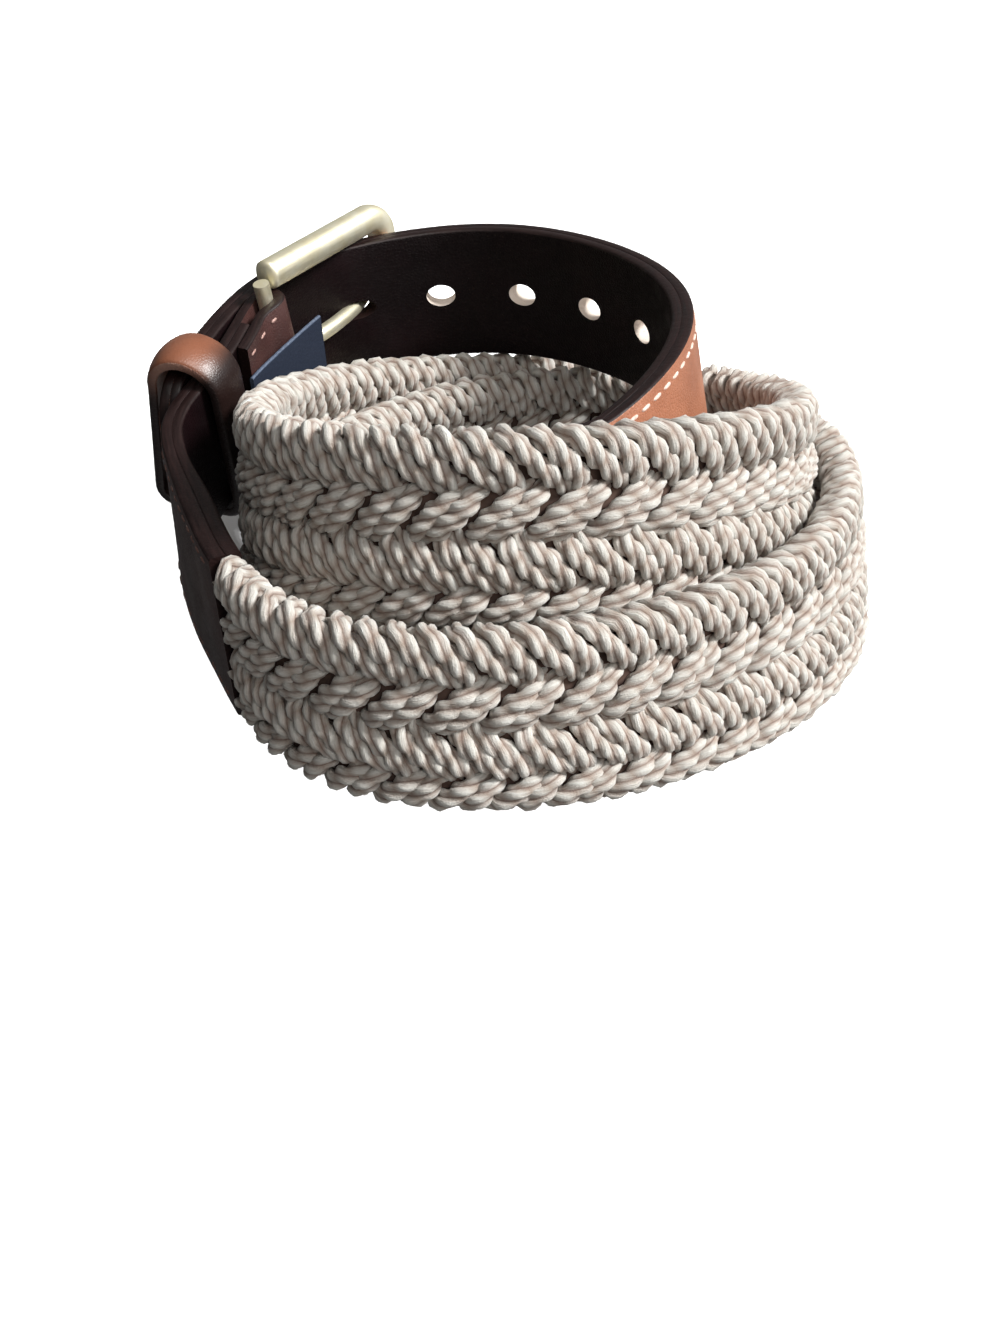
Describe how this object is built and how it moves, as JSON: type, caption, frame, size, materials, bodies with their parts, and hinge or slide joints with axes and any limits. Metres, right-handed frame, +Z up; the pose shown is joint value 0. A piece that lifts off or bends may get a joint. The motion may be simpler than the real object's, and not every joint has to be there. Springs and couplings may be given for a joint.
{
  "type": "braided cord belt with leather ends, rolled up and buckled",
  "caption": "Braided cord belt with tan leather ends, rolled up on its edge and fastened with a plain gold buckle and a leather keeper.",
  "frame": {"origin": "centre of the belt's bounding box on the surface that it stands on", "axes": "+Z up, +Y from the front of the roll to its back, +X to the right seen from the front"},
  "size_m": [0.1492, 0.1521, 0.0701],
  "materials": {
    "cord": "matt",
    "tan_leather": "satin",
    "dark_leather": "satin",
    "pale_gold": "brushed",
    "navy_cloth": "matt"
  },
  "bodies": {
    "root": {"braided_strap": "cord", "tip_leather": "tan_leather", "tip_lining": "dark_leather", "buckle_end_leather": "tan_leather", "buckle_end_lining": "dark_leather", "buckle_frame": "pale_gold", "buckle_prong": "pale_gold", "keeper": "tan_leather", "inner_label": "navy_cloth"}
  },
  "joints": []
}
